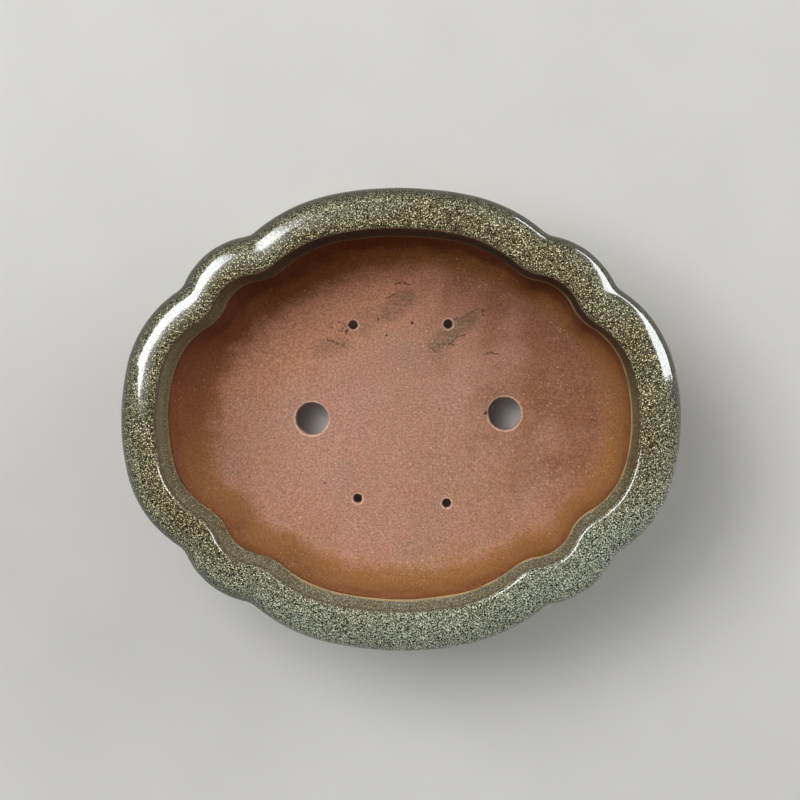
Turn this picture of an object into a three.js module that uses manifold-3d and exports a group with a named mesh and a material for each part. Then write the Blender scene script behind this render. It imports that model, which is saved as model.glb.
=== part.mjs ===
// Mokko bonsai pot: an eight-lobed oval tray of fired stoneware on four bracket feet.
//
// Millimetres, +Z up. The origin is on the ground under the middle of the pot, and +X runs along its length.
// The potter's pieces stay separate solids: a floor slab, the wall that stands on it, the coil pressed into
// the corner between the two, the rim that lies on the wall, and four feet under the slab.

import * as THREE from 'three';
import { mergeVertices } from 'three/addons/utils/BufferGeometryUtils.js';
import Module from 'manifold-3d';

// Overall size

const LENGTH = 360;
const WIDTH = 297;
const HEIGHT = 100;

// Plan of the rim: four large lobes on the axes, four small lobes between them, and a notch beside each

const END_CROWN_RADIUS = 153; // middle of the lobe at each end
const END_CROWN_ANGLE = 13.6; // degrees that it takes on each side of the axis
const SIDE_CROWN_RADIUS = 228; // middle of the lobe on each long side
const SIDE_CROWN_ANGLE = 10.6;
const END_NOTCH_DEPTH = 41; // from the end of the pot back to the notches beside its lobe
const SIDE_NOTCH_DEPTH = 30.3; // from the long side in to the notches beside its lobe
const CORNER_LENGTH = 43.5; // small lobe, between its two notches, along the pot
const CORNER_WIDTH = 33.8; // and across it
const CORNER_RISE = 7.6; // how far it swells from the line between them
const NOTCH_RADIUS = 16; // hollow of a notch at the outside of the rim
const INNER_NOTCH_RADIUS = 31; // and at the inside

// Section of the rim

const RIM_WIDTH = 25; // at the ends of the pot
const SIDE_RIM_WIDTH = 26; // and along its sides
const RIM_THICKNESS = 20;
const RIM_FALL = 12; // from the inner edge down to the outermost line of the nose
const RIM_CROWN = 9; // width of the nearly flat top
const RIM_SHOULDER = 3.5; // how far it has fallen where it turns down to the nose
const RIM_EDGE_ROUND = 2;
const RIM_COVE = 3; // hollow below the rim, where it meets the wall
const NOSE_REACH = 5.5; // rounded part of the nose under the rim

// Wall, floor, coil and feet

const WALL_THICKNESS = 8;
const BASE_DRAW = 17; // how far the foot of the wall lies inside its top
const BELLY = 1.25; // how late the wall draws in: 1 is a straight taper
const FLOOR_THICKNESS = 9;
const COIL_HEIGHT = 20; // of the coil in the corner, up the wall
const COIL_REACH = 16; // and in from the wall
const COIL_EDGE = 1; // thickness of the coil where it fades into the wall
const COIL_TOE = 0.6; // and into the floor
const COIL_HOLLOW = 0.45; // share of its size over which its face keeps the slopes of wall and floor
const COIL_ROUNDING = 0.75; // how far the lobes have faded to an oval at the floor
const LUTED_GAP = 0.3; // slip between the coil and the wall
const FOOT_HEIGHT = 14;
const FOOT_THICKNESS = 15;
const FOOT_REACH = 27; // past the notch at each side of the small lobe
const FOOT_TIP = 4; // height of a foot at its two ends
const FOOT_OGEE = 17; // length of the curve from the tip to the ground
const FOOT_DRAW = 1.5;
const FOOT_EDGE = 1;

// Holes through the floor, cut by hand and so a little out of line

const DRAIN_HOLES = [[-63, -3], [67, 1]];
const WIRE_HOLES = [[29, 61], [-35, 60.5], [-32, -57], [28, -59.5]];
const DRAIN_DIAMETER = 22;
const WIRE_DIAMETER = 6;
const HOLE_EDGE = 1; // bevel at both faces of the floor

// Facets

const END_CROWN_STEPS = 3;
const END_SHOULDER_STEPS = 5;
const NOTCH_STEPS = 4;
const CORNER_STEPS = 6;
const SIDE_SHOULDER_STEPS = 4;
const SIDE_CROWN_STEPS = 3;
const WALL_STEPS = 3;
const COIL_STEPS = 6;
const RIM_STEPS = 8;
const ROUND_STEPS = 3;
const FOOT_STEPS = 28;
const DRAIN_SIDES = 32;
const WIRE_SIDES = 16;

// Levels where the pieces meet

const slabBottom = FOOT_HEIGHT;
const slabTop = slabBottom + FLOOR_THICKNESS;
const coilTop = slabTop + COIL_HEIGHT;
const rimSeat = HEIGHT - RIM_THICKNESS;
const slantTop = HEIGHT - RIM_EDGE_ROUND;
const wallInset = RIM_WIDTH - WALL_THICKNESS;

const clay = { color: 0x9c6a4c, roughness: 0.85, metalness: 0 };
const glaze = { color: 0x6f6647, roughness: 0.25, metalness: 0 };

const wasm = await Module();
wasm.setup();

// Plan outline

function shoulder(crownCentre, crownRadius, angle, notch) {
  // The arc that leaves the crown smoothly at the given angle and runs to the notch.
  const direction = new THREE.Vector2(Math.cos(angle), Math.sin(angle));
  const start = direction.clone().multiplyScalar(crownRadius).add(crownCentre);
  const toNotch = notch.clone().sub(start);
  const radius = toNotch.lengthSq() / (-2 * toNotch.dot(direction));
  return { centre: start.addScaledVector(direction, -radius), radius };
}

function cornerLobe(endNotch, sideNotch) {
  const chord = endNotch.distanceTo(sideNotch);
  const radius = (chord * chord / 4 + CORNER_RISE * CORNER_RISE) / (2 * CORNER_RISE);
  const along = sideNotch.clone().sub(endNotch).divideScalar(chord);
  const outward = new THREE.Vector2(along.y, -along.x);
  const middle = endNotch.clone().add(sideNotch).multiplyScalar(0.5);
  return { centre: middle.addScaledVector(outward, CORNER_RISE - radius), radius };
}

function hollowCentre(a, b, fillet, inset) {
  // The centre of the round hollow that touches two lobes from outside, after both have shrunk by the inset.
  const ra = a.radius - inset + fillet;
  const rb = b.radius - inset + fillet;
  const apart = b.centre.clone().sub(a.centre);
  const distance = apart.length();
  const along = (ra * ra - rb * rb + distance * distance) / (2 * distance);
  const across = Math.sqrt(Math.max(ra * ra - along * along, 0));
  const foot = a.centre.clone().addScaledVector(apart, along / distance);
  return foot.add(new THREE.Vector2(apart.y, -apart.x).multiplyScalar(across / distance));
}

function angleTo(from, to) {
  return Math.atan2(to.y - from.y, to.x - from.x);
}

function arc(centre, radius, start, end, steps, clockwise = false) {
  const curve = new THREE.ArcCurve(centre.x, centre.y, radius, start, end, clockwise);
  return curve.getPoints(steps).slice(0, steps);
}

function quadrantOutline(inset) {
  // One quarter of the outline, from the end of the pot to its long side, parallel to the rim's outer line.
  const length = LENGTH / 2;
  const width = WIDTH / 2;
  const endNotch = new THREE.Vector2(length - END_NOTCH_DEPTH, width - SIDE_NOTCH_DEPTH - CORNER_WIDTH);
  const sideNotch = new THREE.Vector2(length - END_NOTCH_DEPTH - CORNER_LENGTH, width - SIDE_NOTCH_DEPTH);
  const endAngle = THREE.MathUtils.degToRad(END_CROWN_ANGLE);
  const sideAngle = Math.PI / 2 - THREE.MathUtils.degToRad(SIDE_CROWN_ANGLE);
  const endCrown = new THREE.Vector2(length - END_CROWN_RADIUS, 0);
  const sideCrown = new THREE.Vector2(0, width - SIDE_CROWN_RADIUS);
  const end = shoulder(endCrown, END_CROWN_RADIUS, endAngle, endNotch);
  const side = shoulder(sideCrown, SIDE_CROWN_RADIUS, sideAngle, sideNotch);
  const corner = cornerLobe(endNotch, sideNotch);
  const fillet = THREE.MathUtils.mapLinear(inset, 0, RIM_WIDTH, NOTCH_RADIUS, INNER_NOTCH_RADIUS);
  const hollowA = hollowCentre(end, corner, fillet, inset);
  const hollowB = hollowCentre(corner, side, fillet, inset);
  const endShoulder = angleTo(end.centre, hollowA);
  const sideShoulder = angleTo(side.centre, hollowB);
  const cornerStart = angleTo(corner.centre, hollowA);
  const cornerEnd = angleTo(corner.centre, hollowB);
  return [
    ...arc(endCrown, END_CROWN_RADIUS - inset, 0, endAngle, END_CROWN_STEPS),
    ...arc(end.centre, end.radius - inset, endAngle, endShoulder, END_SHOULDER_STEPS),
    ...arc(hollowA, fillet, endShoulder + Math.PI, cornerStart - Math.PI, NOTCH_STEPS, true),
    ...arc(corner.centre, corner.radius - inset, cornerStart, cornerEnd, CORNER_STEPS),
    ...arc(hollowB, fillet, cornerEnd + Math.PI, sideShoulder - Math.PI, NOTCH_STEPS, true),
    ...arc(side.centre, side.radius - inset, sideShoulder, sideAngle, SIDE_SHOULDER_STEPS),
    ...arc(sideCrown, SIDE_CROWN_RADIUS - inset, sideAngle, Math.PI / 2, SIDE_CROWN_STEPS),
    new THREE.Vector2(0, width - inset),
  ];
}

function shapedQuadrant({ inset, draw = 0, rounding = 0 }) {
  // The quarter outline drawn in towards the middle, with its lobes faded towards an oval.
  const length = LENGTH / 2 - inset - draw;
  const width = WIDTH / 2 - inset * SIDE_RIM_WIDTH / RIM_WIDTH - draw;
  const scaleX = length / (LENGTH / 2 - inset);
  const scaleY = width / (WIDTH / 2 - inset);
  return quadrantOutline(inset).map((point) => {
    const lobed = new THREE.Vector2(point.x * scaleX, point.y * scaleY);
    const turn = Math.atan2(lobed.y / width, lobed.x / length);
    return lobed.lerp(new THREE.Vector2(length * Math.cos(turn), width * Math.sin(turn)), rounding);
  });
}

function ring(form, z) {
  // The whole outline at one level, mirrored from its quarter.
  const quarter = shapedQuadrant(form);
  const back = quarter.slice(0, -1);
  const left = [...quarter].reverse().slice(0, -1);
  const half = [...back, ...left.map((point) => new THREE.Vector2(-point.x, point.y))];
  return [
    ...half.map((point) => new THREE.Vector3(point.x, point.y, z)),
    ...half.map((point) => new THREE.Vector3(-point.x, -point.y, z)),
  ];
}

// Solids

function skin(rows, joined) {
  // A closed solid over rows of points. The last row joins the first one, or each end row gets a fan.
  const count = rows[0].length;
  const points = rows.flat();
  const triangles = [];
  const bands = joined ? rows.length : rows.length - 1;
  for (let row = 0; row < bands; row += 1) {
    const next = (row + 1) % rows.length;
    for (let i = 0; i < count; i += 1) {
      const j = (i + 1) % count;
      const a = row * count + i;
      const b = row * count + j;
      const c = next * count + j;
      const d = next * count + i;
      triangles.push([a, b, c], [a, c, d]);
    }
  }
  if (!joined) {
    const first = points.push(centreOf(rows[0])) - 1;
    const last = points.push(centreOf(rows.at(-1))) - 1;
    const lastRow = (rows.length - 1) * count;
    for (let i = 0; i < count; i += 1) {
      const j = (i + 1) % count;
      triangles.push([first, j, i], [last, lastRow + i, lastRow + j]);
    }
  }
  if (volumeOf(points, triangles) < 0) {
    triangles.forEach((triangle) => triangle.reverse());
  }
  const geometry = new THREE.BufferGeometry().setFromPoints(points);
  geometry.setIndex(triangles.flat());
  return geometry;
}

function centreOf(row) {
  const sum = new THREE.Vector3();
  row.forEach((point) => sum.add(point));
  return sum.divideScalar(row.length);
}

function volumeOf(points, triangles) {
  const cross = new THREE.Vector3();
  let sum = 0;
  for (const [a, b, c] of triangles) {
    sum += cross.crossVectors(points[b], points[c]).dot(points[a]) / 6;
  }
  return sum;
}

function toManifold(geometry) {
  const bare = geometry.clone();
  bare.deleteAttribute('normal');
  bare.deleteAttribute('uv');
  const merged = mergeVertices(bare);
  const index = merged.index.array;
  const kept = [];
  for (let i = 0; i < index.length; i += 3) {
    const [a, b, c] = index.slice(i, i + 3);
    if (a !== b && b !== c && c !== a) {
      kept.push(a, b, c);
    }
  }
  return new wasm.Manifold(new wasm.Mesh({
    numProp: 3,
    vertProperties: merged.attributes.position.array,
    triVerts: new Uint32Array(kept),
  }));
}

function cut(geometry, tools) {
  let solid = toManifold(geometry);
  for (const tool of tools) {
    solid = solid.subtract(toManifold(tool));
  }
  const { vertProperties, triVerts } = solid.getMesh();
  const result = new THREE.BufferGeometry();
  result.setAttribute('position', new THREE.BufferAttribute(vertProperties, 3));
  result.setIndex(new THREE.BufferAttribute(triVerts, 1));
  return result;
}

// Floor slab, wall and coil

function drawAt(z) {
  // How far the pot has drawn in at a level, from the inner edge of the rim down.
  return BASE_DRAW * Math.pow((slantTop - z) / (slantTop - slabBottom), BELLY);
}

function slopeAt(z) {
  // And for each millimetre down.
  return BELLY * drawAt(z) / (slantTop - z);
}

function outsideRing(z) {
  return ring({ inset: wallInset, draw: drawAt(z) }, z);
}

function floorSlab() {
  const body = skin([outsideRing(slabBottom), outsideRing(slabTop)], false);
  const drains = DRAIN_HOLES.map(([x, y]) => hole(DRAIN_DIAMETER, DRAIN_SIDES, x, y));
  const wires = WIRE_HOLES.map(([x, y]) => hole(WIRE_DIAMETER, WIRE_SIDES, x, y));
  return cut(body, [...drains, ...wires]);
}

function hole(diameter, sides, x, y) {
  // A round cutter through the floor that flares at both faces, and runs past them.
  const radius = diameter / 2;
  const past = 1;
  const profile = [
    [0, slabBottom - past],
    [radius + HOLE_EDGE + past, slabBottom - past],
    [radius, slabBottom + HOLE_EDGE],
    [radius, slabTop - HOLE_EDGE],
    [radius + HOLE_EDGE + past, slabTop + past],
    [0, slabTop + past],
  ];
  const cutter = new THREE.LatheGeometry(profile.map(([r, z]) => new THREE.Vector2(r, z)), sides);
  cutter.rotateX(Math.PI / 2);
  cutter.translate(x, y, 0);
  return cutter;
}

function levels(bottom, top) {
  return Array.from({ length: WALL_STEPS + 1 }, (_, i) => THREE.MathUtils.lerp(bottom, top, i / WALL_STEPS));
}

function insideRing(z, gap = 0) {
  return ring({ inset: RIM_WIDTH + gap, draw: drawAt(z) }, z);
}

function wall() {
  // Up the outside to the rim's seat, and down the inside past the coil's top to the floor.
  const up = [...levels(slabTop, coilTop), ...levels(coilTop, rimSeat).slice(1)];
  const down = [...up].reverse();
  return skin([...up.map(outsideRing), ...down.map((z) => insideRing(z))], true);
}

function coilFace() {
  // A hollow curve that leaves the wall along its slope and runs out flat. Its x is how far it is drawn in.
  const top = new THREE.Vector2(drawAt(coilTop) + COIL_EDGE, coilTop);
  const toe = new THREE.Vector2(drawAt(coilTop) + COIL_REACH, slabTop + COIL_TOE);
  const drop = COIL_HEIGHT * COIL_HOLLOW;
  const down = new THREE.Vector2(top.x + slopeAt(coilTop) * drop, coilTop - drop);
  const inward = new THREE.Vector2(toe.x - COIL_REACH * COIL_HOLLOW, toe.y);
  return new THREE.CubicBezierCurve(top, down, inward, toe).getPoints(COIL_STEPS);
}

function cornerCoil() {
  // Its back follows the wall, and its face turns from the lobes of the wall to the oval of the floor.
  const rows = levels(slabTop, coilTop).map((z) => insideRing(z, LUTED_GAP));
  const face = coilFace();
  const toe = face.at(-1);
  for (const { x: draw, y: z } of face) {
    const fall = THREE.MathUtils.inverseLerp(coilTop, toe.y, z);
    rows.push(ring({ inset: RIM_WIDTH, draw, rounding: COIL_ROUNDING * fall ** 3 }, z));
  }
  rows.push(ring({ inset: RIM_WIDTH, draw: toe.x, rounding: COIL_ROUNDING }, slabTop));
  return skin(rows, true);
}

// Rim

function rimSection() {
  // Each point has its distance from the inner face, its level, and how far it is drawn in with the wall.
  const draw = drawAt(rimSeat);
  const noseBottom = rimSeat + RIM_COVE;
  const inner = levels(rimSeat, slantTop).slice(0, -1).map((z) => new THREE.Vector3(0, z, drawAt(z)));
  const path = new THREE.Path();
  path.moveTo(0, slantTop);
  path.quadraticCurveTo(0, HEIGHT, RIM_EDGE_ROUND, HEIGHT);
  path.bezierCurveTo(RIM_CROWN, HEIGHT, RIM_WIDTH, HEIGHT - RIM_SHOULDER, RIM_WIDTH, HEIGHT - RIM_FALL);
  path.quadraticCurveTo(RIM_WIDTH, noseBottom, RIM_WIDTH - NOSE_REACH, noseBottom);
  path.lineTo(WALL_THICKNESS + RIM_COVE, noseBottom);
  const steps = [ROUND_STEPS, RIM_STEPS, ROUND_STEPS, 1];
  const lip = path.curves.flatMap((curve, i) => curve.getPoints(steps[i]).slice(0, steps[i]));
  const cove = new THREE.QuadraticBezierCurve3(
    new THREE.Vector3(WALL_THICKNESS + RIM_COVE, noseBottom, 0),
    new THREE.Vector3(WALL_THICKNESS, noseBottom, draw),
    new THREE.Vector3(WALL_THICKNESS, rimSeat, draw),
  );
  return [...inner, ...lip.map(({ x, y }) => new THREE.Vector3(x, y, 0)), ...cove.getPoints(ROUND_STEPS)];
}

function rim() {
  // Up the inner face in line with the wall, over a gently falling top, round the nose and back to the wall.
  return skin(rimSection().map(({ x, y, z }) => ring({ inset: RIM_WIDTH - x, draw: z }, y)), true);
}

// Feet

function distances(points) {
  const along = [0];
  for (let i = 1; i < points.length; i += 1) {
    along.push(along[i - 1] + points[i].distanceTo(points[i - 1]));
  }
  return along;
}

function footSection(outer, inner, fromEnd) {
  // A slice across the foot. Its underside falls from the tip to the ground in an ogee.
  const fall = Math.min(fromEnd / FOOT_OGEE, 1);
  const drop = (1 - Math.cos(Math.PI * fall)) / 2;
  const bottom = (FOOT_HEIGHT - FOOT_TIP) * (1 - drop);
  const inward = inner.clone().sub(outer).normalize();
  const face = outer.clone().addScaledVector(inward, FOOT_DRAW * drop);
  const corners = [
    [outer, FOOT_HEIGHT],
    [face, bottom + FOOT_EDGE],
    [face.clone().addScaledVector(inward, FOOT_EDGE), bottom],
    [inner.clone().addScaledVector(inward, -FOOT_EDGE), bottom],
    [inner, bottom + FOOT_EDGE],
    [inner, FOOT_HEIGHT],
  ];
  return corners.map(([point, z]) => new THREE.Vector3(point.x, point.y, z));
}

function foot(sideX, sideY) {
  // It follows the small lobe under one corner, from beyond one notch to beyond the other.
  const draw = drawAt(slabBottom);
  const outer = shapedQuadrant({ inset: wallInset, draw });
  const inner = shapedQuadrant({ inset: wallInset + FOOT_THICKNESS, draw });
  const along = distances(outer);
  const endNotch = END_CROWN_STEPS + END_SHOULDER_STEPS + NOTCH_STEPS / 2;
  const sideNotch = endNotch + NOTCH_STEPS + CORNER_STEPS;
  const start = along[endNotch] - FOOT_REACH;
  const length = along[sideNotch] + FOOT_REACH - start;
  const rows = [];
  for (let i = 0; i <= FOOT_STEPS; i += 1) {
    const distance = start + length * i / FOOT_STEPS;
    const after = along.findIndex((value) => value > distance);
    const share = (distance - along[after - 1]) / (along[after] - along[after - 1]);
    const outside = outer[after - 1].clone().lerp(outer[after], share);
    const inside = inner[after - 1].clone().lerp(inner[after], share);
    rows.push(footSection(outside, inside, Math.min(distance - start, start + length - distance)));
  }
  const mirror = new THREE.Vector3(sideX, sideY, 1);
  return skin(rows.map((row) => row.map((point) => point.multiply(mirror))), false);
}

// The pot

const pot = new THREE.Group();

function add(name, geometry, finish) {
  const mesh = new THREE.Mesh(geometry, new THREE.MeshStandardMaterial(finish));
  mesh.name = name;
  geometry.computeVertexNormals();
  pot.add(mesh);
}

add('floor_slab', floorSlab(), clay);
add('wall', wall(), glaze);
add('corner_coil', cornerCoil(), clay);
add('rim_lip', rim(), glaze);
for (const [name, sideX, sideY] of [
  ['foot_right_back', 1, 1],
  ['foot_left_back', -1, 1],
  ['foot_left_front', -1, -1],
  ['foot_right_front', 1, -1],
]) {
  add(name, foot(sideX, sideY), glaze);
}

export default pot;
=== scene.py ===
import math
from functools import lru_cache

import bmesh
import bpy
import numpy as np
from mathutils import Matrix, Vector, noise
from mathutils.geometry import delaunay_2d_cdt


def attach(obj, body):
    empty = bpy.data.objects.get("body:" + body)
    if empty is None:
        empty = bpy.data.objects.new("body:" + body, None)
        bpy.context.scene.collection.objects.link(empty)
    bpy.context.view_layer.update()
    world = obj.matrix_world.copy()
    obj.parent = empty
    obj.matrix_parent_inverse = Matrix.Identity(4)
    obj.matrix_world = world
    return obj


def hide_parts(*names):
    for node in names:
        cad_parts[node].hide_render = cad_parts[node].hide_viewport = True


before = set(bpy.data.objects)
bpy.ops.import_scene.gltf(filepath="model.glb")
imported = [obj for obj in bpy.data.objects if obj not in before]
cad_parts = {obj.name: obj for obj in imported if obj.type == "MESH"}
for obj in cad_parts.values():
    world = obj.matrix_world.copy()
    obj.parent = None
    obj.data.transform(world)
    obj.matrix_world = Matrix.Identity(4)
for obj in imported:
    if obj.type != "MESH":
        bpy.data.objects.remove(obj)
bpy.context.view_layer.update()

# Lengths are in millimetres, as in the CAD model, and become metres where a mesh is made.
MM = 0.001

# Without a seed, the noise that shapes the pieces would differ from run to run.
noise.seed_set(7)

# Plan of the rim
LENGTH, WIDTH, HEIGHT = 360.0, 297.0, 100.0
END_CROWN_RADIUS, END_CROWN_ANGLE = 153.0, math.radians(13.6)
SIDE_CROWN_RADIUS, SIDE_CROWN_ANGLE = 228.0, math.radians(10.6)
END_NOTCH_DEPTH, SIDE_NOTCH_DEPTH = 41.0, 30.3
CORNER_LENGTH, CORNER_WIDTH, CORNER_RISE = 43.5, 33.8, 7.6
NOTCH_RADIUS, INNER_NOTCH_RADIUS = 16.0, 31.0
ARC_STEPS = (12, 26, 16, 28, 16, 24, 14)

# Sections
RIM_WIDTH, SIDE_RIM_WIDTH, RIM_SEAT = 25.0, 26.0, 80.0
BRIM_ROUND, BRIM_DROP = 4.0, 3.8
RIM_CROWN, RIM_SHOULDER, NOSE_LEVEL = 9.8, 96.5, 88.0
LIP_UNDERSIDE, LIP_FLAT, COVE_START = 83.0, 19.5, 11.0
WALL_THICKNESS = 8.0
WALL_INSET = RIM_WIDTH - WALL_THICKNESS
SLANT_TOP, BASE_DRAW, BELLY = 98.0, 17.0, 1.25
SLAB_BOTTOM, SLAB_TOP = 14.0, 23.0
COIL_TOP, COIL_REACH, COIL_ROUNDING = 43.0, 16.0, 0.75
COIL_DOWN, COIL_IN, COIL_SINK = 9.0, 7.2, 0.06
MOUTH_SHIFT, SHIFT_START, SHIFT_RISE = 1.6, 8.0, 30.0
GLAZE_LINE, GLAZE_THICKNESS = 70.0, 0.45
FOOT_REACH, FOOT_THICKNESS, FOOT_TIP, FOOT_OGEE, FOOT_EDGE = 27.0, 15.0, 4.0, 17.0, 1.5

# Holes: centre and radius
DRAINS = [((-63, -3), 11.0), ((67, 1), 11.0)]
WIRES = [((29, 61), 3.0), ((-35, 60.5), 3.0), ((-32, -57), 3.0), ((28, -59.5), 3.0)]
HOLE_EDGE = 1.1

# Spacing of the points on the flat of the floor, and how far out they go along X and Y
GRID, GRID_LENGTH, GRID_WIDTH = 5.0, 125.0, 92.5

# The level from which the glaze has run down the inner face
RUN_START = 97.0

# Refraction of the glaze outside, and of the drier ware inside
OUTER_IOR, INNER_IOR = 1.6, 1.3

# Stage
GROUND_RADIUS = 8.0
LAMP_COLOUR = (0.93, 0.97, 1.0)
CAMERA_PLACE = Vector((90.53, 74.65, 1394.7)) * MM
CAMERA_AIM = Vector((1.91, 13.56, 100.0)) * MM
FOCAL_LENGTH, SENSOR_WIDTH = 92.03, 36.0


# --- Plan outline -------------------------------------------------------------------------------

def arc(centre, radius, start, end, steps):
    """Points of an arc, without the last one."""
    turn = np.linspace(start, end, steps, endpoint=False)
    return centre + radius * np.column_stack([np.cos(turn), np.sin(turn)])


def angle_to(a, b):
    """The direction from one point to another."""
    return math.atan2(b[1] - a[1], b[0] - a[0])


def shoulder(centre, radius, angle, notch):
    """Centre and radius of the arc that leaves a crown at an angle, tangent to it, and ends in a notch."""
    direction = np.array([math.cos(angle), math.sin(angle)])
    start = centre + radius * direction
    to_notch = notch - start
    r = to_notch.dot(to_notch) / (-2 * to_notch.dot(direction))
    return start - r * direction, r


def hollow_centre(a, ra, b, rb):
    """Where two circles meet on the outer side: the middle of the hollow in a notch."""
    apart = b - a
    d = np.hypot(*apart)
    along = (ra * ra - rb * rb + d * d) / (2 * d)
    across = math.sqrt(max(ra * ra - along * along, 0))
    return a + apart * along / d + np.array([apart[1], -apart[0]]) * across / d


def hollow(centre, fillet, a, b, steps):
    """The hollow of a notch, from the lobe round a to the lobe round b."""
    start, end = angle_to(centre, a), angle_to(centre, b)
    return arc(centre, fillet, start, end - 2 * math.pi if end > start else end, steps)


@lru_cache(maxsize=None)
def outline(inset):
    """The whole outline, parallel to the rim's outer line."""
    length, width = LENGTH / 2, WIDTH / 2
    notch_a = np.array([length - END_NOTCH_DEPTH, width - SIDE_NOTCH_DEPTH - CORNER_WIDTH])
    notch_b = np.array([length - END_NOTCH_DEPTH - CORNER_LENGTH, width - SIDE_NOTCH_DEPTH])
    end_crown = np.array([length - END_CROWN_RADIUS, 0])
    side_crown = np.array([0, width - SIDE_CROWN_RADIUS])
    side_angle = math.pi / 2 - SIDE_CROWN_ANGLE
    end, end_r = shoulder(end_crown, END_CROWN_RADIUS, END_CROWN_ANGLE, notch_a)
    side, side_r = shoulder(side_crown, SIDE_CROWN_RADIUS, side_angle, notch_b)
    chord = notch_b - notch_a
    c = np.hypot(*chord)
    corner_r = (c * c / 4 + CORNER_RISE ** 2) / (2 * CORNER_RISE)
    corner = (notch_a + notch_b) / 2 + np.array([chord[1], -chord[0]]) / c * (CORNER_RISE - corner_r)
    fillet = NOTCH_RADIUS + (INNER_NOTCH_RADIUS - NOTCH_RADIUS) * inset / RIM_WIDTH
    grow = fillet - inset
    ha = hollow_centre(end, end_r + grow, corner, corner_r + grow)
    hb = hollow_centre(corner, corner_r + grow, side, side_r + grow)
    n = ARC_STEPS
    quarter = np.vstack([
        arc(end_crown, END_CROWN_RADIUS - inset, 0, END_CROWN_ANGLE, n[0]),
        arc(end, end_r - inset, END_CROWN_ANGLE, angle_to(end, ha), n[1]),
        hollow(ha, fillet, end, corner, n[2]),
        arc(corner, corner_r - inset, angle_to(corner, ha), angle_to(corner, hb), n[3]),
        hollow(hb, fillet, corner, side, n[4]),
        arc(side, side_r - inset, angle_to(side, hb), side_angle, n[5]),
        arc(side_crown, SIDE_CROWN_RADIUS - inset, side_angle, math.pi / 2, n[6]),
        [[0, width - inset]],
    ])
    half = np.vstack([quarter[:-1], (quarter[::-1] * [-1, 1])[:-1]])
    return np.vstack([half, -half])


def ring(inset, z, draw=0.0, rounding=0.0):
    """The outline at a level, drawn in towards the middle, with its lobes faded towards an oval."""
    flat = outline(inset)
    ones = np.ones(len(flat))
    full = np.array([LENGTH / 2 - inset, WIDTH / 2 - inset])
    size = np.array([LENGTH / 2 - inset, WIDTH / 2 - inset * SIDE_RIM_WIDTH / RIM_WIDTH])
    size = size[None, :] - (draw * ones)[:, None]
    lobed = flat * size / full
    turn = np.arctan2(lobed[:, 1] / size[:, 1], lobed[:, 0] / size[:, 0])
    oval = size * np.column_stack([np.cos(turn), np.sin(turn)])
    place = lobed + (rounding * ones)[:, None] * (oval - lobed)
    inward = np.clip((inset - SHIFT_START) / (RIM_WIDTH - SHIFT_START), 0, 1)
    place[:, 0] -= MOUTH_SHIFT * inward * np.clip((z * ones - COIL_TOP) / SHIFT_RISE, 0, 1)
    return np.column_stack([place, z * ones])


def draw_at(z):
    """How far the wall has come in from the rim at a level."""
    return BASE_DRAW * (np.maximum(SLANT_TOP - z, 0) / (SLANT_TOP - SLAB_BOTTOM)) ** BELLY


def slope_at(z):
    """How much further in the wall comes for each millimetre down."""
    return BELLY * draw_at(z) / (SLANT_TOP - z)


# --- Meshes -------------------------------------------------------------------------------------

# Millimetres inside the glaze's edge, the way over the rim from 0 to 1 and below 0 inside the mouth,
# and millimetres in from the line where the corner coil meets the flat floor
MARKS = ("glaze_edge", "across_rim", "floor_edge")


def wander(points, size, seed):
    """A smooth vector from -1 to 1 at each point, that changes over the given size."""
    shift = Vector((seed, seed * 1.7, seed * 0.6))
    return np.array([noise.noise_vector(Vector(p) / size + shift) for p in points])


def handmade(points):
    """What the potter's hands leave: every surface is a little off its true place."""
    offset = 0.55 * wander(points, 55.0, 3.1) + 0.16 * wander(points, 17.0, 8.4)
    rise = np.clip((points[:, 2] - 1) / 12, 0, 1)
    offset[:, 2] *= rise * rise * (3 - 2 * rise)
    return offset


def loft(rows, joined):
    """Faces over rows of points. The last row joins the first one, or the two ends are closed."""
    count = len(rows[0])
    faces = []
    for r in range(len(rows) if joined else len(rows) - 1):
        a, b = r * count, (r + 1) % len(rows) * count
        faces += [(a + i, a + (i + 1) % count, b + (i + 1) % count, b + i) for i in range(count)]
    if not joined:
        faces += [tuple(range(count)), tuple(range((len(rows) - 1) * count, len(rows) * count))]
    return faces


def add_piece(name, points, faces, marks, materials, slot, *nodes, picked=None, sharp=45):
    """marks has each point's values, a row for each name in MARKS. picked gives each face's material."""
    mesh = bpy.data.meshes.new(name)
    mesh.from_pydata(((points + handmade(points)) * MM).tolist(), [], faces)
    for label, values in zip(MARKS, marks):
        attribute = mesh.attributes.new(label, "FLOAT", "POINT")
        attribute.data.foreach_set("value", np.asarray(values, np.float32))
    if picked is not None:
        mesh.polygons.foreach_set("material_index", np.asarray(picked, np.int32))
    work = bmesh.new()
    work.from_mesh(mesh)
    bmesh.ops.recalc_face_normals(work, faces=work.faces)
    work.to_mesh(mesh)
    work.free()
    mesh.shade_smooth()
    mesh.set_sharp_from_angle(angle=math.radians(sharp))
    for material in materials:
        mesh.materials.append(material)
    obj = bpy.data.objects.new(name, mesh)
    bpy.context.scene.collection.objects.link(obj)
    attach(obj, "root")
    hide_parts(*nodes)
    return obj


def curve(steps, *controls):
    """Points of a line, or of a curve with three or four controls, without the last one."""
    t = np.linspace(0, 1, steps, endpoint=False)[:, None]
    points = [np.array(c, float)[None, :] for c in controls]
    while len(points) > 1:
        points = [a + (b - a) * t for a, b in zip(points, points[1:])]
    return points[0]


# --- Materials ----------------------------------------------------------------------------------

def srgb(r, g, b):
    """A colour of 0 to 255 for each channel, as the linear values that sockets take."""
    return [c / 12.92 if c <= 0.04045 else ((c + 0.055) / 1.055) ** 2.4 for c in (r / 255, g / 255, b / 255)]


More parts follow.
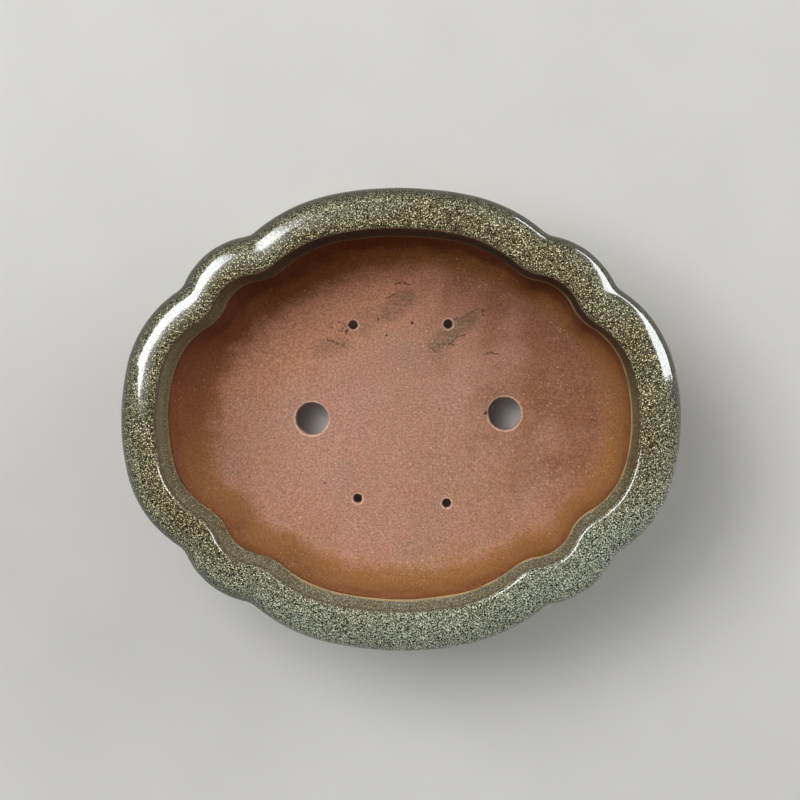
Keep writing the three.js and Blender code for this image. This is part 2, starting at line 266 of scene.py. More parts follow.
class Graph:
    """Short names for the nodes of one material, lamp or world. Lengths are in millimetres."""

    def __init__(self, owner):
        owner.use_nodes = True
        self.owner = owner
        self.nodes = owner.node_tree.nodes
        self.links = owner.node_tree.links
        self.nodes.clear()
        if isinstance(owner, bpy.types.Material):
            # The place on the pot: each piece's own axes are the pot's, because no piece is moved or turned
            place = self.nodes.new("ShaderNodeTexCoord").outputs["Object"]
            self.place = self.vector("SCALE", place, scale=1 / MM)

    def put(self, value, socket):
        if isinstance(value, bpy.types.NodeSocket):
            self.links.new(value, socket)
        elif socket.type == "RGBA":
            socket.default_value = (*value, 1)
        else:
            socket.default_value = value

    def node(self, kind, inputs, output=0, **settings):
        made = self.nodes.new(kind)
        for key, value in settings.items():
            setattr(made, key, value)
        for key, value in inputs.items():
            self.put(value, made.inputs[key])
        return made.outputs[output]

    def math(self, operation, a, b=0.0, clamp=False):
        return self.node("ShaderNodeMath", {0: a, 1: b}, operation=operation, use_clamp=clamp)

    def vector(self, operation, a, b=(0, 0, 0), scale=1.0):
        out = 1 if operation in ("LENGTH", "DOT_PRODUCT") else 0
        return self.node("ShaderNodeVectorMath", {0: a, 1: b, 3: scale}, out, operation=operation)

    def part(self, vector, axis):
        return self.node("ShaderNodeSeparateXYZ", {0: vector}, axis)

    def fade(self, value, low, high, to_low=0.0, to_high=1.0):
        """Goes softly from to_low to to_high while the value goes from low to high."""
        inputs = {0: value, 1: low, 2: high, 3: to_low, 4: to_high}
        return self.node("ShaderNodeMapRange", inputs, interpolation_type="SMOOTHSTEP")

    def mix(self, factor, a, b, blend="MIX"):
        return self.node("ShaderNodeMix", {0: factor, 6: a, 7: b}, 2, data_type="RGBA", blend_type=blend)

    def blend(self, factor, a, b):
        return self.node("ShaderNodeMix", {0: factor, 2: a, 3: b}, 0, data_type="FLOAT")

    def times(self, first, *others):
        for other in others:
            first = self.math("MULTIPLY", first, other)
        return first

    def toward(self, x, y):
        """The way along a direction in the plan."""
        return self.vector("DOT_PRODUCT", self.place, (x, y, 0))

    def noise(self, size, detail=2.0, roughness=0.5, at=None, output=0):
        inputs = {"Vector": at or self.place, "Scale": 1 / size, "Detail": detail, "Roughness": roughness}
        return self.node("ShaderNodeTexNoise", inputs, output)

    def sway(self, at, size, detail, reach):
        """A small move to the side, that changes from place to place."""
        off_middle = self.vector("SUBTRACT", self.noise(size, detail, at=at, output="Color"), (0.5, 0.5, 0.5))
        return self.vector("SCALE", off_middle, scale=reach)

    def cells(self, size, output="Distance", at=None):
        return self.node("ShaderNodeTexVoronoi", {"Vector": at or self.place, "Scale": 1 / size}, output)

    def attribute(self, name):
        return self.node("ShaderNodeAttribute", {}, "Fac", attribute_name=name)

    def flecks(self, size, radius, share, at=None):
        """Round flecks in some of the cells of a pattern."""
        dot = self.fade(self.cells(size, at=at), radius * 0.6, radius, 1.0, 0.0)
        chosen = self.part(self.cells(size, "Color", at=at), "X")
        return self.math("MULTIPLY", dot, self.math("GREATER_THAN", chosen, 1 - share))

    def stroke(self, at, start, end):
        """Distance from a straight line on the floor."""
        run = Vector((*end, 0)) - Vector((*start, 0))
        away = self.vector("SUBTRACT", at, (*start, 0))
        along = self.math("DIVIDE", self.vector("DOT_PRODUCT", away, run), run.length_squared, clamp=True)
        return self.vector("LENGTH", self.vector("SUBTRACT", away, self.vector("SCALE", run, scale=along)))

    def finish(self, colour, roughness, height, depth, ior):
        """The shader. The height is in units of depth, which is in mm."""
        bump = self.node("ShaderNodeBump", {"Strength": 1.0, "Distance": depth * MM, "Height": height})
        shader = self.nodes.new("ShaderNodeBsdfPrincipled")
        self.put(colour, shader.inputs["Base Color"])
        self.put(roughness, shader.inputs["Roughness"])
        self.put(bump, shader.inputs["Normal"])
        shader.inputs["IOR"].default_value = ior
        output = self.nodes.new("ShaderNodeOutputMaterial")
        self.links.new(shader.outputs[0], output.inputs[0])
        return self.owner


def smeared(g, loose, flat, on_floor, colour):
    """Grey-green smears where a finger or a wet tool touched the floor."""
    smears = g.fade(g.stroke(loose, (-11, 68.5), (0.5, 78.5)), 3, 10, 0.55, 0.0)
    for begin, stop, reach, strength in (
        ((22, 48), (46, 66), 8.5, 0.62), ((-26, 66), (-28, 58), 10, 0.3), ((-58, 43), (-42, 47), 9, 0.35),
    ):
        smears = g.math("MAXIMUM", smears, g.fade(g.stroke(loose, begin, stop), 2, reach, strength, 0.0))
    turned = g.node("ShaderNodeMapping", {"Vector": flat, "Rotation": (0, 0, -0.64), "Scale": (0.09, 0.6, 1)})
    smears = g.times(smears, g.fade(g.noise(1.0, 3.0, at=turned), 0.28, 0.62, 0.35, 1.0))
    return g.mix(g.times(smears, on_floor), colour, srgb(98, 82, 64))


def dark_lines(g, loose, on_floor):
    """Fine dark lines round the smears, and short scratches."""
    lines = 0.0
    for begin, stop in (
        ((33, 63), (42, 67.5)), ((42, 67.5), (49, 71.5)), ((49, 71.5), (52.5, 71)),
        ((52.5, 71), (53.5, 66.5)),
        ((-6.5, 86.5), (-2, 89)), ((-2, 89), (3, 87.5)), ((-19, 66), (-17.5, 59.5)),
        ((-52.5, 50.4), (-46, 48.9)), ((-46, 48.2), (-40, 47.3)), ((18, 45), (21, 42)),
        ((-14, 79), (-7, 80)), ((32, 50), (40, 55)), ((54, 41.5), (62, 40)),
    ):
        lines = g.math("MAXIMUM", lines, g.fade(g.stroke(loose, begin, stop), 0.25, 0.75, 1.0, 0.0))
    return g.times(lines, g.fade(g.noise(2.2, 2), 0.32, 0.5), on_floor)


def pinholes(g, loose, flat, on_floor):
    """Small holes in the clay of the floor, some of them in a cluster."""
    near = g.fade(g.stroke(flat, (-46, 60), (-38, 57)), 2, 6, 1.0, 0.0)
    holes = g.times(g.flecks(2.1, 0.42, 0.75), near)
    for x, y in ((30.3, 48.3), (32, 47.6), (-54.2, -47.1), (54.5, 0.4), (-12, 54), (4, 61)):
        hole = g.fade(g.stroke(loose, (x, y), (x + 0.4, y)), 0.45, 0.95, 1.0, 0.0)
        holes = g.math("MAXIMUM", holes, hole)
    return g.times(holes, on_floor)


def hole_highlight(g, flat, on_floor):
    """A painted highlight on the rounded edges round the holes."""
    hole_light = 0.0
    for (x, y), radius in DRAINS + WIRES:
        away = g.vector("LENGTH", g.vector("SUBTRACT", flat, (x, y, 0)))
        edge = g.fade(g.math("ABSOLUTE", g.math("SUBTRACT", away, radius + 0.7)), 0.3, 0.95, 1.0, 0.0)
        hole_light = g.math("MAXIMUM", hole_light, edge)
    return g.times(hole_light, on_floor, 0.55)


def clay_look(g, marked):
    """Fired clay: colour and height in mm. The floor of the pot is marked by use, and has painted highlights
    round its holes.
    """
    z = g.part(g.place, "Z")

    # Clouds of rosy and grey-brown clay, browner towards the right
    colour = g.mix(g.fade(g.noise(48, 2), 0.36, 0.64), srgb(177, 131, 111), srgb(171, 125, 101))
    colour = g.mix(g.fade(g.noise(21, 3, 0.6), 0.45, 0.75, 0, 0.5), colour, srgb(180, 124, 108))
    colour = g.mix(g.fade(g.noise(29, 2), 0.5, 0.7, 0, 0.35), colour, srgb(160, 134, 114))
    # Painted light: lighter, redder clay towards the back, lifting the floor where the rim's shadow falls
    colour = g.mix(g.fade(g.toward(-0.45, 0.89), 35, 85, 0, 0.9), colour, srgb(198, 138, 108))
    browned = g.math("ADD", g.toward(0.88, 0.47), g.fade(g.noise(26, 3), 0.3, 0.7, -22, 22))
    colour = g.mix(g.fade(browned, 20, 115, 0, 0.85), colour, srgb(134, 86, 58))

    # Browner clay on the coil, partly the clay's own tone and partly painted shade and warm bounce light,
    # deepest at the back left where the rim's shadow falls; darker, oranger clay higher up the wall as
    # painted shade and warm bounce light, darkest on the back wall, which faces away from the lamps
    # Painted shade: the coil's brown band is wider and darker towards the back left
    left = g.fade(g.toward(-0.7, 0.7), 50, 110)
    climb = g.math("ADD", g.attribute("floor_edge"), g.fade(g.noise(13, 6, 0.8), 0.25, 0.75, -6, 6))
    climb = g.math("SUBTRACT", climb, g.times(left, 8.0))
    coil_shade_tone = g.mix(left, srgb(151, 103, 54), srgb(138, 84, 46))
    colour = g.mix(g.fade(climb, 5, -15, 0, 0.95), colour, coil_shade_tone)
    # Painted shade and warm bounce light: darker, oranger clay higher up the wall
    rising = g.math("ADD", z, g.fade(g.noise(16, 2), 0.25, 0.75, -5, 7))
    colour = g.mix(g.fade(rising, 44, 70, 0, 0.65), colour, srgb(118, 60, 20))
    # Painted shade: the back wall, facing away from the lamps, is darker still
    back_wall_shade = g.times(g.fade(rising, 30, 52, 0, 0.8), g.fade(g.part(g.place, "Y"), 5, 85))
    colour = g.mix(back_wall_shade, colour, srgb(92, 36, 6))
    height = g.times(g.noise(4.5, 2), 0.14)
    pits = g.flecks(13, 0.05, 0.5)

    if marked:
        flat = g.vector("MULTIPLY", g.place, (1, 1, 0))
        loose = g.vector("ADD", flat, g.vector("MULTIPLY", g.sway(g.place, 7, 3.0, 7.0), (1, 1, 0)))
        on_floor = g.fade(z, 20, 21.5)
        colour = smeared(g, loose, flat, on_floor, colour)
        lines = dark_lines(g, loose, on_floor)
        colour = g.mix(g.times(lines, 0.7), colour, srgb(74, 44, 30))
        height = g.math("SUBTRACT", height, g.times(lines, 0.12))
        pits = g.math("MAXIMUM", pinholes(g, loose, flat, on_floor), pits)
        # Painted highlight round the holes
        colour = g.mix(hole_highlight(g, flat, on_floor), colour, srgb(222, 188, 168))
    # Painted shade: the pits are coloured dark, as the shade inside them
    colour = g.mix(g.times(pits, 0.85), colour, srgb(38, 20, 12))

    # Pale grains of grog, thicker in some patches, and the grain of the clay itself
    patches = g.fade(g.noise(30, 2, 0.6), 0.42, 0.62, 0.2, 0.9)
    grog = g.math("MAXIMUM", g.times(g.flecks(2.1, 0.24, 0.6), patches), g.flecks(10, 0.065, 0.6))
    colour = g.mix(g.times(grog, 0.75), colour, srgb(228, 184, 150))
    grain = g.noise(1.3, 3, 0.7)
    tone = g.mix(g.fade(grain, 0.3, 0.7), (0.7, 0.69, 0.68), (1.3, 1.31, 1.32))
    colour = g.mix(1.0, colour, tone, "MULTIPLY")
    height = g.math("ADD", height, g.times(grain, 0.10))
    height = g.math("ADD", height, g.times(grog, 0.05))
    height = g.math("SUBTRACT", height, g.times(pits, 0.30))
    return colour, height


def glaze_look(g):
    """Speckled olive glaze: colour, roughness and height in mm."""
    across = g.attribute("across_rim")
    edge = g.attribute("glaze_edge")
    y = g.part(g.place, "Y")
    # Paler and cooler towards the front
    paler_front = g.times(g.fade(g.toward(0.2, -0.98), 25, 110, 0, 0.8), g.fade(y, 0, -60))
    cool = g.math("ADD", g.fade(across, 0.1, 0.9, -0.05, 0.3), paler_front)
    cool = g.math("ADD", cool, g.fade(g.noise(40, 2), 0.35, 0.65, -0.12, 0.12), clamp=True)
    ground = g.mix(cool, srgb(16, 13, 6), srgb(30, 35, 26))
    middle = g.mix(cool, srgb(119, 109, 76), srgb(160, 167, 142))
    cream = g.mix(cool, srgb(255, 244, 198), srgb(251, 255, 232))

    # Ground of clouded olive with fine cream dots and dark grains
    inside = g.fade(across, 0.02, -0.08)
    below = g.math("SUBTRACT", g.part(g.place, "Z"), RUN_START)
    run = g.node("ShaderNodeCombineXYZ", {"Z": g.times(below, inside, -0.65)})
    drawn = g.vector("ADD", g.place, run)
    shaken = g.vector("ADD", drawn, g.sway(drawn, 0.9, 1.0, 0.7))
    colour = g.mix(g.fade(g.noise(0.8, 1, at=drawn), 0.42, 0.58), ground, middle)
    grains = g.flecks(1.3, 0.39, 0.5, at=shaken)
    colour = g.mix(g.times(grains, 0.9), colour, srgb(10, 9, 5))
    smooth = g.times(inside, g.fade(y, -70, 10, 0.05, 0.45))
    crowd = g.times(g.fade(g.noise(9, 2), 0.3, 0.65, 0.6, 1.0), g.math("SUBTRACT", 1.0, smooth))
    fine = g.flecks(1.15, 0.38, 0.8, at=shaken)
    colour = g.mix(g.times(fine, crowd), colour, cream)

    # Inside, the glaze is browner near the top as a painted reflection of the clay, greyer further down, and
    # pale where it thins out at its lower line, a line that is partly a painted highlight; painted shade
    # darkens it under the lip and at the back of the mouth
    run_down = g.math("ADD", edge, g.fade(g.noise(14, 2), 0.3, 0.7, -3, 3))
    lower = g.mix(g.fade(y, -80, 10), srgb(100, 102, 82), srgb(120, 106, 76))
    # Painted reflection: the brown of the upper band stands for the clay mirrored in the glaze
    upper = g.times(g.fade(g.toward(-0.75, -0.66), 10, 125), g.fade(y, -112, -84, 0.35, 1.0))
    upper = g.mix(upper, srgb(97, 83, 48), srgb(142, 140, 118))
    mouth = g.mix(g.fade(run_down, 3, 14), lower, upper)
    mouth = g.mix(g.times(inside, g.fade(g.noise(23, 2), 0.4, 0.6, 0, 0.4)), mouth, srgb(128, 124, 106))
    colour = g.mix(g.times(inside, 0.7, g.fade(smooth, 0, 0.8, 0.45, 1)), colour, mouth)
    # Painted shade just under the inner edge of the lip
    under_lip_shade = g.times(inside, g.fade(across, -0.4, -0.15, 0, 0.5))
    colour = g.mix(under_lip_shade, colour, srgb(40, 36, 18))
    # Painted shade: the back of the mouth, facing away from the lamps, is made nearly black
    away = g.fade(g.toward(0.2, 0.98), 35, 100, 0, 0.93)
    colour = g.mix(g.times(inside, away), colour, srgb(12, 9, 4))
    # The pale lower line: partly thinner glaze, partly a painted highlight, strongest on the front right,
    # which faces the key lamp
    pale_edge_and_glint = g.times(g.fade(edge, 1.6, 6.0, 1.0, 0.0), g.fade(g.noise(18, 2), 0.4, 0.6, 0.4, 0.9))
    pale_edge_and_glint = g.times(pale_edge_and_glint, g.fade(g.toward(0.8, -0.6), -20, 35, 0.2, 1.0))
    colour = g.mix(pale_edge_and_glint, colour, srgb(205, 180, 124))

    # Over the nose of the rim the glaze is painted darker towards the back and the left end, painted shade
    # where the nose faces away from the lamps; the outer wall below is evenly darker
    ends = g.fade(g.toward(-1, -0.2), 75, 125, 0, 0.7)
    nose_shade_and_wall_tone = g.times(g.fade(across, 0.65, 0.95, 0, 0.85), g.math("MAXIMUM", ends, g.fade(y, -60, 50)))
    nose_shade_and_wall_tone = g.blend(g.fade(across, 1.05, 1.25), nose_shade_and_wall_tone, 0.35)
    colour = g.mix(nose_shade_and_wall_tone, colour, srgb(44, 44, 32))

    # The glaze is glossy outside and on the rim, and dull inside the mouth
    roughness = g.fade(g.noise(12, 2), 0.3, 0.7, 0.05, 0.09)
    roughness = g.blend(inside, roughness, 0.5)
    height = g.times(g.noise(6.5, 1), 0.07)
    height = g.math("ADD", height, g.times(g.noise(2.4, 1), 0.016))
    height = g.math("ADD", height, g.times(fine, 0.004))
    return colour, roughness, height


def stoneware(name, ior, marked=False):
    """Glaze, and bare clay where the glaze stops."""
    g = Graph(bpy.data.materials.new(name))
    clay, clay_height = clay_look(g, marked)
    glaze, glaze_roughness, glaze_height = glaze_look(g)
    edge = g.math("ADD", g.attribute("glaze_edge"), g.fade(g.noise(1.6, 2), 0.2, 0.8, -0.25, 0.25))
    glazed = g.fade(edge, -0.12, 0.12)

    # The clay is darker just below the glaze, partly flashed in the firing and partly painted shade under the
    # glaze's edge, more so on the left
    flash_and_edge_shade = g.times(g.fade(edge, -4.5, -1.0), g.fade(g.noise(24, 2), 0.4, 0.6, 0.2, 0.8))
    flash_and_edge_shade = g.math("MULTIPLY", flash_and_edge_shade, g.fade(g.part(g.place, "X"), -90, 40, 1.2, 0.6), clamp=True)
    clay = g.mix(flash_and_edge_shade, clay, srgb(64, 34, 18))
    colour = g.mix(glazed, clay, glaze)
    roughness = g.blend(glazed, 0.86, glaze_roughness)
    height = g.blend(glazed, clay_height, glaze_height)
    return g.finish(colour, roughness, height, 1.0, ior)


def all_glaze(name):
    g = Graph(bpy.data.materials.new(name))
    colour, roughness, height = glaze_look(g)
    return g.finish(colour, roughness, height, 1.0, OUTER_IOR)


def plain(name, colour, roughness):
    """The ground that the pot stands on: plain paper-like board."""
    g = Graph(bpy.data.materials.new(name))
    tone = g.mix(g.fade(g.noise(90, 2), 0.3, 0.7), colour, [c * 0.97 for c in colour])
    return g.finish(tone, roughness, g.noise(0.8, 2), 0.02, ior=1.45)


# --- Pieces -------------------------------------------------------------------------------------

glaze = all_glaze("speckled_glaze")
outer_ware = stoneware("outer_glaze_and_clay", OUTER_IOR)
inner_ware = stoneware("inner_glaze_and_clay", INNER_IOR)
floor_ware = stoneware("clay_of_the_floor", INNER_IOR, marked=True)
ring_size = len(outline(0.0))
coil_top_draw = draw_at(COIL_TOP)
floor_draw = coil_top_draw + COIL_REACH

# Marks of points that are well inside the glaze or on bare clay, outside the mouth, inside it at the
# glaze's lower line or below that, and up from the floor
GLAZED, BARE = 20, -6
OUTSIDE, AT_LINE, WELL_INSIDE = 1.3, -1.1, -1.2
OFF_FLOOR = -40


def each(values):
    """One value for each row, given to all the points of the row."""
    return np.concatenate([np.ones(ring_size) * v for v in values])


def across_inside(z):
    """The mark across_rim of a level inside the mouth."""
    return -(HEIGHT - z) / RIM_WIDTH


def add_rim():
    """Up the inner face, over the falling top, round the nose and back to the wall."""
    section = np.vstack([
        curve(7, (0, RIM_SEAT), (0, HEIGHT - BRIM_DROP)),
        curve(15, (0, HEIGHT - BRIM_DROP), (0, HEIGHT), (BRIM_ROUND, HEIGHT)),
        curve(30, (BRIM_ROUND, HEIGHT), (RIM_CROWN, HEIGHT),
              (RIM_WIDTH, RIM_SHOULDER), (RIM_WIDTH, NOSE_LEVEL)),
        curve(11, (RIM_WIDTH, NOSE_LEVEL), (RIM_WIDTH, LIP_UNDERSIDE), (LIP_FLAT, LIP_UNDERSIDE)),
        curve(4, (LIP_FLAT, LIP_UNDERSIDE), (COVE_START, LIP_UNDERSIDE)),
        curve(7, (COVE_START, LIP_UNDERSIDE), (WALL_THICKNESS, LIP_UNDERSIDE), (WALL_THICKNESS, RIM_SEAT)),
        curve(3, (WALL_THICKNESS, RIM_SEAT), (0, RIM_SEAT)),
    ])
    drawn = np.array([draw_at(z) if u == 0 else 0.0 for u, z in section])
    cove = (section[:, 0] <= COVE_START) & (section[:, 1] <= LIP_UNDERSIDE)
    cove_width = COVE_START - WALL_THICKNESS
    drawn[cove] = draw_at(RIM_SEAT) * np.clip((COVE_START - section[cove, 0]) / cove_width, 0, 1)
    rows = [ring(round(RIM_WIDTH - u, 6), z, draw) for (u, z), draw in zip(section, drawn)]
    inner = section[:, 0] < 0.01
    across = []
    for (u, z), is_inner in zip(section, inner):
        if is_inner:
            across.append(across_inside(z))
        else:
            across.append(u / RIM_WIDTH if z > NOSE_LEVEL or u > WALL_THICKNESS + 1 else OUTSIDE)
    marks = each([GLAZED] * len(rows)), each(across), each([OFF_FLOOR] * len(rows))
    faces = loft(rows, True)
    picked = [int(inner[i // ring_size]) for i in range(len(faces))]
    add_piece("rim", np.vstack(rows), faces, marks, [glaze, inner_ware], "glaze", "rim_lip", picked=picked)


def add_wall():
    """Up the outside, down the glazed and then bare inside, and round the coil to the floor."""
    levels = np.linspace(SLAB_TOP, RIM_SEAT, 24)
    rows = [(ring(WALL_INSET, z, draw_at(z)), GLAZED, OUTSIDE, OFF_FLOOR) for z in levels]
    outer_rows = len(rows)
    for z in (80.0, 78.0, 76.0):
        rows.append((ring(RIM_WIDTH, z, draw_at(z)), z - GLAZE_LINE, across_inside(z), OFF_FLOOR))
    mouth = ring(RIM_WIDTH, GLAZE_LINE)
    line = GLAZE_LINE + 1.3 * wander(mouth, 26.0, 5.2)[:, 0] + 0.5 * wander(mouth, 8.0, 1.3)[:, 1]
    # How far above the glaze's lower line, and how proud of the wall
    for up, proud in (
        (4, 0), (2.6, 0.04), (1.6, 0.12), (1.0, 0.17), (0.6, 0.15), (0.3, 0.05), (0.1, -0.15), (-0.02, -0.4),
        (-0.15, -GLAZE_THICKNESS), (-0.8, -GLAZE_THICKNESS), (-2.2, -GLAZE_THICKNESS), (-4, -GLAZE_THICKNESS),
    ):
        rows.append((ring(RIM_WIDTH, line + up, draw_at(line + up) + proud), up, AT_LINE, OFF_FLOOR))
    for z in np.linspace(63.0, COIL_TOP + 2, 9):
        rows.append((ring(RIM_WIDTH, z, draw_at(z) - GLAZE_THICKNESS), BARE, WELL_INSIDE, OFF_FLOOR))
    toe = floor_draw, SLAB_TOP - COIL_SINK
    coil = curve(20, (coil_top_draw - GLAZE_THICKNESS, COIL_TOP),
                 (coil_top_draw + slope_at(COIL_TOP) * COIL_DOWN, COIL_TOP - COIL_DOWN),
                 (floor_draw - COIL_IN, SLAB_TOP), toe)
    for draw, z in np.vstack([coil, [toe]]):
        fall = np.clip((COIL_TOP - z) / (COIL_TOP - SLAB_TOP), 0, 1)
        row = ring(RIM_WIDTH, z, draw, COIL_ROUNDING * fall ** 3)
        rows.append((row, BARE, WELL_INSIDE, draw - floor_draw))
    points, *marks = zip(*rows)
    faces = loft(points, True)
    picked = [0 if outer_rows - 1 > i // ring_size else 1 for i in range(len(faces))]
    add_piece("wall_and_coil", np.vstack(points), faces, [each(m) for m in marks],
              [outer_ware, inner_ware], "glaze", "wall", "corner_coil", picked=picked)


def floor_plan(edge):
    """Points in the plan of the floor: its edge, rings round the holes, and a grid. Each has its depth."""
    plan = [tuple(p) for p in edge]
    loops = [list(range(ring_size))]
    depths = [0.0] * ring_size
    hole_rims = []
    for k, ((x, y), radius) in enumerate(DRAINS + WIRES):
        sides = 72 if radius > 5 else 40
        turn = np.linspace(0, 2 * math.pi, sides, endpoint=False)
        true = radius * (1 + 0.014 * np.cos(2 * turn + k) + 0.008 * np.cos(3 * turn + 2 * k))
        # How far out from the hole, and how deep, in sizes of its rounded edge
        for out, deep in ((0, 1), (0.06, 0.66), (0.25, 0.34), (0.55, 0.11), (1, 0), (2.4, -0.12), (4, 0)):
            loop = list(range(len(plan), len(plan) + sides))
            reach = true + out * HOLE_EDGE
            plan += [(x + r * math.cos(a), y + r * math.sin(a)) for r, a in zip(reach, turn)]
            depths += [deep * HOLE_EDGE] * sides
            if out == 0:
                hole_rims.append((loop, (x, y), true.min()))
            loops.append(loop)
    for i in range(-27, 28):
        for j in range(-22, 23):
            x, y = (i + 0.5 * (j % 2)) * GRID, j * GRID * 0.866
            inside = (x / GRID_LENGTH) ** 2 + (y / GRID_WIDTH) ** 2 < 1
            if inside and all(math.hypot(x - cx, y - cy) > r + 8 for (cx, cy), r in DRAINS + WIRES):
                plan.append((x, y))
                depths.append(0.0)
    return plan, depths, loops, hole_rims


def add_floor():
    """A flat middle with rounded holes, joined to its edge by rings of points."""
    edge = ring(RIM_WIDTH, SLAB_TOP, floor_draw, COIL_ROUNDING)[:, :2]
    plan, depths, loops, hole_rims = floor_plan(edge)
    pairs = [(loop[i], loop[(i + 1) % len(loop)]) for loop in loops for i in range(len(loop))]
    flat, _, triangles, origin, _, _ = delaunay_2d_cdt([Vector(p) for p in plan], pairs, [], 1, 1e-5, True)
    place_of = {source: i for i, sources in enumerate(origin) for source in sources}
    depth_of = np.zeros(len(flat))
    for source, i in place_of.items():
        depth_of[i] = depths[source]
    kept = []
    for triangle in triangles:
        middle = sum((flat[i] for i in triangle), Vector((0, 0))) / 3
        if all((middle - Vector(centre)).length > size * 0.985 for _, centre, size in hole_rims):
            kept.append(tuple(triangle))
    upper = np.array([(p[0], p[1], SLAB_TOP) for p in flat])
    lower = np.array([(p[0], p[1], SLAB_BOTTOM) for p in flat])
    upper[:, 2] -= depth_of
    lower[:, 2] += np.maximum(depth_of, 0)
    points = [upper, lower]
    faces = kept + [tuple(i + len(flat) for i in triangle) for triangle in kept]
    glaze_edge = [BARE] * (2 * len(flat))
    floor_edge = [float(np.hypot(*(edge - np.array(p)).T).min()) for p in flat] * 2
    picked = [0] * len(faces)

    def bridge(first, last, between, values, material):
        """Joins a loop of points to another one by rows in between."""
        count = len(first)
        chain = [list(first)]
        for row, value in zip(between, values):
            start = sum(len(p) for p in points)
            points.append(row)
            glaze_edge.extend([value] * count)
            floor_edge.extend([10] * count)
            chain.append(list(range(start, start + count)))
        chain.append(list(last))
        for a, b in zip(chain, chain[1:]):
            faces.extend((a[i], a[(i + 1) % count], b[(i + 1) % count], b[i]) for i in range(count))
            picked.extend([material] * count)

    # The glazed side, rounded under to the bare underside
    side = [ring(WALL_INSET, z, draw_at(z)) for z in (SLAB_TOP, 21, 19, 17, 15.6, 14.9)]
    for z, further in ((14.35, 0.15), (14.0, 0.7), (14.0, 4)):
        side.append(ring(WALL_INSET, z, draw_at(14.9) + further))
    around = [place_of[i] for i in range(ring_size)]
    bridge(around, [i + len(flat) for i in around], side, [GLAZED] * 5 + [3, 0.6, -0.6, -4], 1)
    for loop, _, _ in hole_rims:
        here = [place_of[i] for i in loop]
        walls = []
        for share in (0.25, 0.5, 0.75):
            row = upper[here].copy()
            row[:, 2] += (lower[here][:, 2] - row[:, 2]) * share
            walls.append(row)
        bridge(here, [i + len(flat) for i in here], walls, [BARE] * 3, 0)
    marks = glaze_edge, [OUTSIDE] * len(glaze_edge), floor_edge
    add_piece("floor", np.vstack(points), faces, marks, [floor_ware, outer_ware], "clay", "floor_slab",
              picked=picked, sharp=60)


def foot_section(tall, drop):
    """How far in from the outer face, and how high, going round from the top outer corner."""
    edge = FOOT_EDGE * min(1, tall / 8)
    lean = 0.9 * drop
    inner = FOOT_THICKNESS
    return np.vstack([
        curve(8, (0, tall), (0.1 - 0.5 * drop, tall * 0.5), (lean, edge)),
        curve(5, (lean, edge), (lean + 0.1, 0), (lean + edge, 0)),
        curve(6, (lean + edge, 0), (inner - edge, 0)),
        curve(5, (inner - edge, 0), (inner, 0), (inner, edge)),
        curve(6, (inner, edge), (inner, tall)),
        curve(3, (inner, tall), (0, tall)),
    ])


def foot_rows():
    """Slices of the foot at the right back, from tip to tip, and how far each point is from its bare face."""
    quarter = slice(0, ring_size // 4 + 1)
    outside = ring(WALL_INSET, 0, draw_at(SLAB_BOTTOM))[quarter, :2]
    inside = ring(WALL_INSET + FOOT_THICKNESS, 0, draw_at(SLAB_BOTTOM))[quarter, :2]
    along = np.concatenate([[0], np.cumsum(np.hypot(*np.diff(outside, axis=0).T))])
    end_notch = ARC_STEPS[0] + ARC_STEPS[1] + ARC_STEPS[2] // 2
    side_notch = end_notch + ARC_STEPS[2] + ARC_STEPS[3]
    start, end = along[end_notch] - FOOT_REACH, along[side_notch] + FOOT_REACH
    rows, bare = [], []
    for distance in start + (end - start) * np.linspace(0, 1, 110):
        out = np.array([np.interp(distance, along, outside[:, k]) for k in (0, 1)])
        inn = np.array([np.interp(distance, along, inside[:, k]) for k in (0, 1)])
        from_end = min(distance - start, end - distance)
        drop = (1 - math.cos(math.pi * min(from_end / FOOT_OGEE, 1))) / 2
        bottom = (SLAB_BOTTOM - FOOT_TIP) * (1 - drop)
        narrowed = min(1.0, (from_end + 0.25) / 1.6)
        section = foot_section(SLAB_BOTTOM - bottom, drop)
        inward = (inn - out) / np.hypot(*(inn - out))
        width = np.hypot(*(inn - out)) / FOOT_THICKNESS
        centre = FOOT_THICKNESS / 2
        across = [(centre + (u - centre) * narrowed) * width for u, _ in section]
        rows.append([(*(out + inward * a), bottom + h) for a, (_, h) in zip(across, section)])
        bare.append([(bottom + h - 0.9) * 2 if bottom < 0.8 or h > 0.9 else 0.6 + h for _, h in section])
    return np.array(rows), np.concatenate(bare)


add_rim()
add_wall()
add_floor()
rows, glaze_edge = foot_rows()
for name, mirror in (("foot_right_back", (1, 1, 1)), ("foot_left_back", (-1, 1, 1)),
                     ("foot_left_front", (-1, -1, 1)), ("foot_right_front", (1, -1, 1))):
    points = (rows * mirror).reshape(-1, 3)
    marks = glaze_edge, [OUTSIDE] * len(points), [OFF_FLOOR] * len(points)
    add_piece(name + "_bracket", points, loft(rows, False), marks, [outer_ware], "glaze", name)


# --- Stage, light and camera --------------------------------------------------------------------

work = bmesh.new()
bmesh.ops.create_circle(work, cap_ends=True, segments=128, radius=GROUND_RADIUS)
ground = bpy.data.meshes.new("ground")
work.to_mesh(ground)
work.free()
ground.materials.append(plain("pale_board", srgb(242, 241, 238), 0.9))
ground = bpy.data.objects.new("ground", ground)
bpy.context.scene.collection.objects.link(ground)


